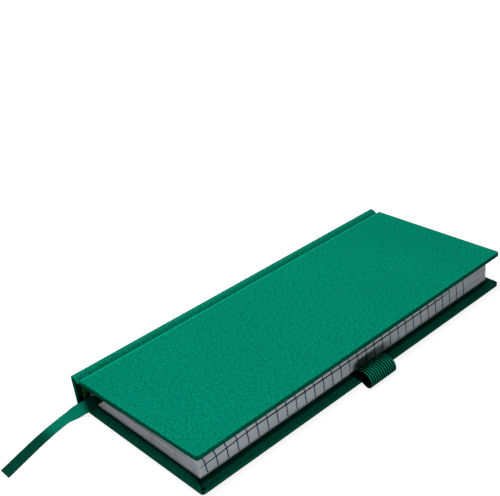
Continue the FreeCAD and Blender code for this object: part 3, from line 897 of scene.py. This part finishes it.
def addWrap(side, shape, mirrored):
    # The profile carried along y, shifted by the skew times the share of the height.
    lines = wrapProfile(shape)
    if mirrored:
        lines = [line * (1, -1) + (0, shape["height"]) for line in lines]
    outer = lines[0]
    stations, shrink = roundedEnds(coverLength, shape["end"])
    grids = []
    for line in lines:
        y = stations[:, None] - book["skew"] * line[None, :, 1] / shape["height"]
        grids.append(stacked(line[:, 0], y, line[:, 1]))
    outerGrid, innerGrid = drawnIn(*grids, shrink)
    maps = stacked(lengths(outer) - shape["mapFrom"], stations[:, None])
    # Painted shade: darker across the strip, darker still in the groove by the board, on the ends,
    # and on the inner side that faces the pages.
    strip, seam, ends = shape["stripShade"], shape["seamShade"], shape["endShade"]
    across = smooth((outer[:, 0] - 0.5) / 4.5) * strip + smooth((outer[:, 0] - 5.9) / 0.5) * seam
    atEnd = (shrink > 0.05)[:, None]
    outside = across[None, :] + atEnd * ends
    behind = np.where(atEnd, ends, shape["insideShade"]) + 0 * across
    tone = joined(outside, behind, axis=1)
    shell = [shellPart(outerGrid, innerGrid, maps)]
    wrap = newPiece(side + "JointCloth", shell, clothMaterial, tone=tone)
    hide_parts(side + "_joint_cloth", "spine_cloth")
    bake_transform(wrap)


addWrap("front", spineShape, False)
addWrap("back", spineShape, True)

hingeShape = {
    # Places across, and distances from the endpaper's level towards the pages.
    "line": ((4.7, 0.8), (5.0, 0.1), (6.0, 0.04), (7.3, 0.0)),
    "half": 0.04,  # half its thickness
    "short": 0.2,  # less than the pages at each end
}


def addHingeStrip(side, shape, level, inwards):
    # Paper from the block's shoulder to the endpaper: a line carried along y, half a thickness
    # either way.
    controls = [(x, level + inwards * away) for x, away in shape["line"]]
    line = alongCurve(controls, 24)
    normal = rightOf(line) * shape["half"]
    short = shape["short"]
    ys = np.linspace(pagesLow[1] + short, pagesHigh[1] - short, 30)
    edges = line - normal, line + normal
    grids = [stacked(edge[:, 0], ys[:, None], edge[:, 1]) for edge in edges]
    shell = [shellPart(*grids, stacked(lengths(line), ys[:, None]))]
    strip = newPiece(side + "HingePaper", shell, endpaperMaterial)
    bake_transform(strip)


addHingeStrip("front", hingeShape, book["frontInner"], -1)
addHingeStrip("back", hingeShape, coverStack, 1)
print("spine and joints made")

blockShape = {
    "lower": 44,  # leaves modelled below the gap
    "upper": 50,  # and above it
    "across": 26,  # points along the short sides
    "along": 110,  # and along the long ones
    "mapSize": (80.0, 218.0, 17.0),  # width, length and height of the map
    "ragged": 0.07,  # unevenness of the cut leaves
    "bundle": 6,  # leaves that are cut alike
    "bundleRagged": 1.2,  # share of the raggedness
    "gap": 0.5,  # height of the gap
    "gapDepth": 2.2,
    # Painted shade in the gap.
    "gapShades": (-1.0, -1.5, -1.5, -0.7),  # from the leaf below it to the leaf above
    "headClosed": (0.8, 0.06),  # share of the length where it closes, and over how much
    "cornerClosed": 0.75,  # share of its depth lost at the tail's fore corner
    "foot": 0.5,  # height and depth of the crevice under the lowest leaf
    "footDepth": 1.4,
    # Painted shade in the crevice under the lowest leaf.
    "footShade": -1.5,
    "margin": 0.15,  # width of the edge's marks on the top leaf
    "lowerLean": 0.2,  # how far the fore-edge leans back below the gap
    "upperLean": 1.0,  # and above it
    "upperBack": 0.35,  # how far all leaves above it stand back
    "headForward": 0.3,  # and less at the head
    "slopeFrom": 1.8,  # from the fore-edge to the top's slope
    "sink": 2.4,  # how much lower the gap is at the tail corner
    "sinkRun": 38.0,
    "lift": -0.8,  # how much higher it is along the tail
    "setBack": 3.4,  # of the upper leaves at the tail corner
    "fan": 0.45,  # share of the upper leaves that slope back to it
    "shoulder": 1.56,  # rounding of the folds at the spine
    # Painted highlight on the leaves just above the gap.
    "ledgeHighlight": 0.3,  # leaves above the gap
    "lowTone": 0.4,  # and the lowest ones
    # Painted highlight down the tail's fore corner.
    "cornerHighlight": 0.25,
}


def blockOutline(shape, levels, isUpper, u, v):
    # A box with the shares u, v and levels of its width, length and height, whose fore-edge leans
    # back, whose top slopes and whose gap sinks towards the corner.
    middle = shape["lower"] / (shape["lower"] + shape["upper"])
    tailNear = 1 - smooth((v * shape["mapSize"][1]) / shape["sinkRun"])
    headNear = gapClosed(shape, v)
    under = np.minimum(levels / middle, 1)
    over = np.clip((levels - middle) / (1 - middle), 0, 1)
    fanned = shape["setBack"] * tailNear * smooth(over / shape["fan"])
    behind = shape["upperBack"] + fanned - shape["headForward"] * headNear
    lean = shape["lowerLean"] * under + isUpper * (behind + shape["upperLean"] * over)
    fore = pagesHigh[0] - lean
    spine = pagesLow[0] + shape["shoulder"] * (1 - smooth(levels / 0.35))
    x = spine + u * (fore - spine)
    y = pagesLow[1] + v * (pagesHigh[1] - pagesLow[1]) + 0 * levels
    slope = math.tan(book["tilt"])
    top = pagesHigh[2] - (pagesHigh[0] - shape["slopeFrom"] - x) * slope
    top = np.minimum(top, pagesHigh[2])
    z = pagesLow[2] + levels * (top - pagesLow[2])
    sink = shape["sink"] * tailNear * smooth((u - 0.86) / 0.14)
    lift = shape["lift"] * (1 - smooth((u - 0.8) / 0.12)) * (1 - smooth(v / 0.5))
    z = z + (lift - sink) * under * (1 - over)
    z = z - shape["gap"] * (1 - headNear) * ~isUpper * under
    return x, y, z


def gapClosed(shape, v):
    # 0 along most of the block and 1 at the head.
    start, run = shape["headClosed"]
    return smooth((v - start) / run)


def blockParts(shape):
    # Each leaf has a lower and an upper row of points round the block: its outline, less the
    # leaf's own raggedness.
    seeded = np.random.default_rng(11)
    leaves = shape["lower"] + shape["upper"]
    across, along = shape["across"], shape["along"]
    shareShort = np.linspace(0, 1, across)
    shareLong = np.linspace(0, 1, along)
    shortSide, longSide = np.ones(across - 1), np.ones(along - 1)
    u = joined(shareShort[:-1], longSide, shareShort[:0:-1], 0 * longSide)
    v = joined(0 * shortSide, shareLong[:-1], shortSide, shareLong[:0:-1])
    outX = joined(0 * shortSide, longSide, 0 * shortSide, -longSide)
    outY = joined(-shortSide, 0 * longSide, shortSide, 0 * longSide)

    # The level of each row is 0 at the bottom and 1 at the top, with the gap between two leaves.
    middle = shape["lower"] / leaves
    lower = np.linspace(0, middle, shape["lower"] + 1)
    upper = np.linspace(middle, 1, shape["upper"] + 1)
    low = joined(lower[:-1], upper[:-1])
    high = joined(lower[1:], upper[1:])
    levels = stacked(low, high).ravel()
    isUpper = np.repeat(np.arange(leaves) >= shape["lower"], 2)
    x, y, z = blockOutline(shape, levels[:, None], isUpper[:, None], u, v)

    # A step for each leaf and each bundle, and a slow wave for each leaf.
    size, bundle = shape["ragged"], shape["bundle"]
    spread = shape["bundleRagged"] * size
    leafOffset = np.repeat(seeded.normal(0, size, (leaves, 1)), 2, axis=0)
    bundles = np.repeat(seeded.normal(0, spread, (leaves // bundle + 1, 1)), 2 * bundle, axis=0)
    phase = np.repeat(seeded.uniform(0, 2 * math.pi, (leaves, 1)), 2, axis=0)
    turn = np.linspace(0, 2 * math.pi, len(u), endpoint=False)
    wave = np.sin(3 * turn + phase) * size * 0.5
    inward = np.abs(leafOffset + bundles[: 2 * leaves] + wave)
    inward[:2] = 0  # the lowest leaf stands out
    x = x - outX * inward
    y = y - outY * inward

    # Two more rows line the gap, deep inside the block.
    split = 2 * shape["lower"]
    out = stacked(outX, outY, 0 * outX)
    cornerNear = smooth((u - 0.6) / 0.35) * (1 - smooth(v / 0.09)) * shape["cornerClosed"]
    deep = shape["gapDepth"] * (1 - gapClosed(shape, v) * (u > 0.5)) * (1 - cornerNear)
    grid = stacked(x, y, z)
    gapRows = [grid[row] - out * deep[:, None] for row in (split - 1, split)]
    # One more lies under the lowest leaf, which stands clear of the endpaper.
    footRow = grid[0] - out * shape["footDepth"]
    grid[..., 2] = z + shape["foot"] * (1 - levels[:, None]) ** 8
    # And one on the top leaf just inside its edge, where the page begins.
    topRow = grid[-1] - shape["margin"] * out
    points = joined(footRow[None], grid[:split], gapRows, grid[split:], topRow[None])
    wide, long, tall = shape["mapSize"]
    gapLevels = [levels[split - 1]] * 2
    rows = joined(levels[:1], levels[:split], gapLevels, levels[split:], levels[-1:])
    maps = stacked(lengths(stacked(u * wide, v * long)), rows[:, None] * tall)
    parts = [gridPart(points, maps, closed=True)]
    edge = np.ones(points.shape[:2])
    edge[[0, -1]] = 0
    tone = np.zeros(points.shape[:2])
    # Painted shade in the gap and in the crevice under the lowest leaf, painted highlights on the
    # leaves above the gap and down the tail's fore corner, and lighter lowest leaves.
    tone[split : split + 4] = np.array(shape["gapShades"])[:, None] * (1 - cornerNear)
    tone[split + 4 : split + 7] = shape["ledgeHighlight"]
    tone[1:7] = shape["lowTone"]
    tone[:, across - 1] += shape["cornerHighlight"]
    tone[0] = shape["footShade"]
    edges, tones = [edge.ravel()], [tone.ravel()]

    # The lowest and the topmost page, joined to the outermost rows all round.
    sides = across - 1, along - 1, across - 1
    gridU, gridV = np.meshgrid(shareShort, shareLong)
    for row, level, top in ((0, 0.0, False), (-1, 1.0, True)):
        page = stacked(*blockOutline(shape, np.array(level), np.array(top), gridU, gridV))
        ring = joined(points[row], points[row, :1])[:, :2]
        tailRim, foreRim, headRim, spineRim = np.split(ring, np.cumsum(sides))
        page[0, :-1, :2] = tailRim
        page[:-1, -1, :2] = foreRim
        page[-1, :0:-1, :2] = headRim
        page[::-1, 0, :2] = spineRim
        parts.append(gridPart(page, page[..., :2]))
        edges.append(np.zeros(gridU.size))
        tones.append(np.zeros(gridU.size))
    return parts, np.concatenate(edges), np.concatenate(tones)


parts, edge, tone = blockParts(blockShape)
pages = newPiece("pages", parts, pageMaterial, tone=tone, edge=edge, sharp=25.0)
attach(pages, "text_block")
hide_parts("page_block")
print("pages made")

bandShape = {
    "width": 1.2,
    # Painted shade towards its sides.
    "sideShade": -0.9,
    "reach": 3.4,  # how far it stands out from the pages
    "left": 4.0,
    "short": 0.6,  # from the block's top and bottom to its ends
    "ending": 1.2,  # height over which it recedes there
    "receded": 0.75,  # share of the reach at its ends
    "twist": 0.55,  # distance between the threads sewn round it
    "thread": 0.05,  # how far they stand out
    "mapScale": 1.6,
}


def bandParts(y, way, shape):
    # A lip whose plan is a slot with a round nose, carried upwards, and raised by the threads, a
    # sine of the height.
    across = np.linspace(-1, 1, 15)
    low, high = pagesLow[2] + shape["short"], liningHigh[2] - shape["short"]
    heights = np.linspace(low, high, 180)
    ridge = shape["thread"] * np.sin(2 * math.pi * heights / shape["twist"])[:, None]
    half = shape["width"] / 2
    nose = shape["reach"] * (1 - np.abs(across) ** 4 * 0.8)
    ends = smooth((heights - low) / shape["ending"]) * smooth((high - heights) / shape["ending"])
    full = shape["receded"] + (1 - shape["receded"]) * ends[:, None]
    x = shape["left"] + half + across[None, :] * (half + ridge)
    outY = y + way * (nose[None, :] * full + ridge)
    outer = stacked(x, outY, heights[:, None])
    inner = stacked(x, y - way * shape["thread"], heights[:, None])
    maps = stacked(across * half * shape["mapScale"], heights[:, None])
    # Painted shade towards the sides of the lip.
    tone = np.broadcast_to(shape["sideShade"] * smooth((np.abs(across) - 0.4) / 0.4), x.shape)
    return [shellPart(outer, inner, maps)], joined(tone, tone, axis=1)


for name, y, way in (("tail", pagesLow[1], -1), ("head", pagesHigh[1], 1)):
    parts, tone = bandParts(y, way, bandShape)
    band = newPiece(name + "Band", parts, bandMaterial, tone=tone)
    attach(band, "text_block")
    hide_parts(name + "_band")
print("bands made")

loopShape = {
    "place": 104.6,  # from the back cover's tail edge
    "width": 19.6,
    "thick": 0.9,
    "ribs": 12,
    "ribPoints": 8,
    "thin": 0.2,  # half thickness in the grooves between ribs
    "side": 0.08,  # and at its sides
    "pressed": 0.4,  # share of the thickness where it is glued
    "tongue": 7.0,  # glued under the endpaper
    # Painted shade in the grooves and on the inner side, and a painted highlight on the crests.
    "grooveShade": -1.4,
    "ribHighlight": 1.8,  # what the ribs gain on the grooves
    "insideShade": -1.3,
    # From the cover's edge, round the nose and over the arch to the foot.
    "outline": (
        *((92.4, 2.4), (94.6, 1.3), (96.8, 0.42), (98.3, 0.35), (99.6, 1.4), (99.95, 3.4)),
        *((99.0, 5.8), (96.8, 7.6), (94.2, 8.4), (92.0, 8.2), (90.3, 7.6), (89.2, 6.6)),
        *((88.75, 5.0), (88.7, 2.9)),
    ),
}


def loopLine(shape):
    # From the glued end over the cover to its edge, and then half a thickness inside the outline.
    bend = alongCurve(shape["outline"], 90)
    bend = bend - rightOf(bend) * (shape["thick"] / 2)
    level = wrapped + shape["thick"] / 2
    start = alongCurve(
        [
            (pagesHigh[0] - shape["tongue"], wrapped - 0.18),
            (pagesHigh[0] - 3, wrapped - 0.18),
            (pagesHigh[0] - 0.4, wrapped - 0.1),
            (pagesHigh[0] + 1.6, level),
            (coverHigh[0] - 1.4, level),
            tuple(bend[1]),
        ],
        30,
    )
    return joined(start[:-1], bend[1:])


def loopParts(shape):
    # The section carried along the line: each rib is half a circle across.
    line = loopLine(shape)
    normal = rightOf(line)
    rib = (1 - np.cos(np.linspace(0, math.pi, shape["ribPoints"] + 1))) / 2
    across = np.concatenate([k + rib[:-1] for k in range(shape["ribs"])] + [[shape["ribs"]]])
    away = np.abs(2 * (across % 1) - 1)  # 0 on a rib's crest and 1 in a groove
    swell = np.sqrt(np.clip(1 - away**2, 0, 1))
    half = shape["thin"] + (shape["thick"] / 2 - shape["thin"]) * swell
    half[[0, -1]] = shape["side"]
    free = smooth((lengths(line) - shape["tongue"]) / 2.0)[:, None]
    half = half * (shape["pressed"] + (1 - shape["pressed"]) * free)
    y = shape["place"] + across * shape["width"] / shape["ribs"]
    grids = []
    for way in (1, -1):
        x = line[:, None, 0] + way * half * normal[:, None, 0]
        z = line[:, None, 1] + way * half * normal[:, None, 1]
        grids.append(stacked(x, y, z))
    # Painted highlight on the crests, painted shade in the grooves and on the inner side.
    shade = shape["ribHighlight"] * smooth((0.72 - away) / 0.5) + shape["grooveShade"]
    tone = np.broadcast_to(shade, (len(line), len(across)))
    both = joined(tone, 0 * tone + shape["insideShade"], axis=1)
    return [shellPart(*grids, stacked(y, lengths(line)[:, None]))], both.ravel()


parts, tone = loopParts(loopShape)
penLoop = newPiece("penLoop", parts, elasticMaterial, tone=tone, sharp=60.0)
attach(penLoop, "back_cover")
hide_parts("pen_loop")
print("pen loop made")

for node in ("front_board", "back_board", "spine_board", "spine_lining"):
    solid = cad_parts[node]
    solid.data.materials.clear()
    solid.data.materials.append(mullMaterial if node == "spine_lining" else boardMaterial)

studio = {
    "floor": 0.3,  # what the floor itself reflects
    "glow": 0.87,  # what it adds near the object
    "spread": (0.3, 1.0),  # metres over which it turns pure white
    "reach": 4.0,
    "below": 0.0002,  # from the table's level to the floor
    "ambient": 0.03,
}
lamps = {
    "key": {"place": (-0.08, -0.09, 0.7), "wide": 0.24, "high": 0.24, "power": 4.3},
    "fill": {"place": (0.46, -0.38, 0.045), "wide": 0.3, "high": 0.07, "power": 1.05},
    "rear": {"place": (-0.7, 0.6, 0.45), "wide": 0.6, "high": 0.5, "power": 1.0},
}


def seenPlain(start):
    # 1 for rays that meet a white background, 0 for those that light the object.
    path = start.node("LightPath", output="Is Camera Ray")
    return (path + path.other("Is Glossy Ray") + path.other("Is Transmission Ray")).clamped()


def addFloor(look):
    # A square of grey that glows: the glow is pure white past the spread.
    material, start = newMaterial("pale floor")
    grey = (look["floor"],) * 3 + (1.0,)
    diffuse = start.node("BsdfDiffuse", {"Color": grey})
    spot = start.node("TexCoord", output="Object")
    away = start.node("VectorMath", {0: spot}, "Value", operation="LENGTH")
    glow = away.over(*look["spread"]) * (1 - look["glow"]) + look["glow"]
    lift = start.node("Emission", {"Color": seenPlain(start) * glow})
    both = start.node("AddShader", {0: diffuse, 1: lift})
    start.node("OutputMaterial", {"Surface": both})
    mesh = bpy.data.meshes.new("floor")
    signs = ((-1, -1), (1, -1), (1, 1), (-1, 1))
    corners = [(x * look["reach"], y * look["reach"], -look["below"]) for x, y in signs]
    mesh.from_pydata(corners, [], [(0, 1, 2, 3)])
    mesh.materials.append(material)
    floor = addObject("floor", mesh)


def addWorld(look):
    world = bpy.data.worlds.new("studio")
    world.use_nodes = True
    world.node_tree.nodes.clear()
    start = Signal(world.node_tree)
    strength = seenPlain(start) * (1 - look["ambient"]) + look["ambient"]
    sky = start.node("Background", {"Color": strength})
    start.node("OutputWorld", {"Surface": sky})
    bpy.context.scene.world = world


def addLamp(name, look):
    lamp = bpy.data.lights.new(name, "AREA")
    lamp.energy = look["power"]
    lamp.shape = "RECTANGLE"
    lamp.size = look["wide"]
    lamp.size_y = look["high"]
    holder = addObject(name, lamp)
    holder.location = look["place"]
    holder.rotation_euler = Vector(look["place"]).to_track_quat("Z", "Y").to_euler()


addFloor(studio)
addWorld(studio)
for name, look in lamps.items():
    addLamp(name, look)
print("studio made")
